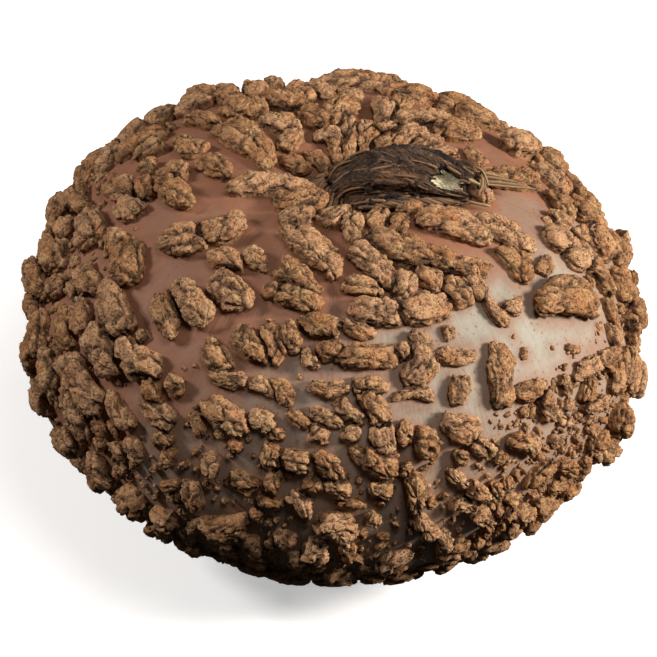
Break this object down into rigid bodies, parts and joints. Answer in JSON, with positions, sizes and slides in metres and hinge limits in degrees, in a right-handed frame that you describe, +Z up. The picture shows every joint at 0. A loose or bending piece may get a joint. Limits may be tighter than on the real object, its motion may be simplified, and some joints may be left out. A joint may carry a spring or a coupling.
{
  "type": "winter squash",
  "caption": "Flattened round winter squash, salmon skin grown over with corky peanut-like warts, with a short dried stem lying in the hollow on top.",
  "frame": {"origin": "middle of the small flat spot under the fruit, on the surface it rests on", "axes": "+Z up out of that surface, +X the way the dried stem points, -Y the side the picture shows"},
  "size_m": [0.3013, 0.3017, 0.1976],
  "materials": {
    "rind": "satin",
    "cork": "matte",
    "stalk": "matte"
  },
  "bodies": {
    "root": {"fruit": "rind", "stem": "stalk"}
  },
  "joints": []
}
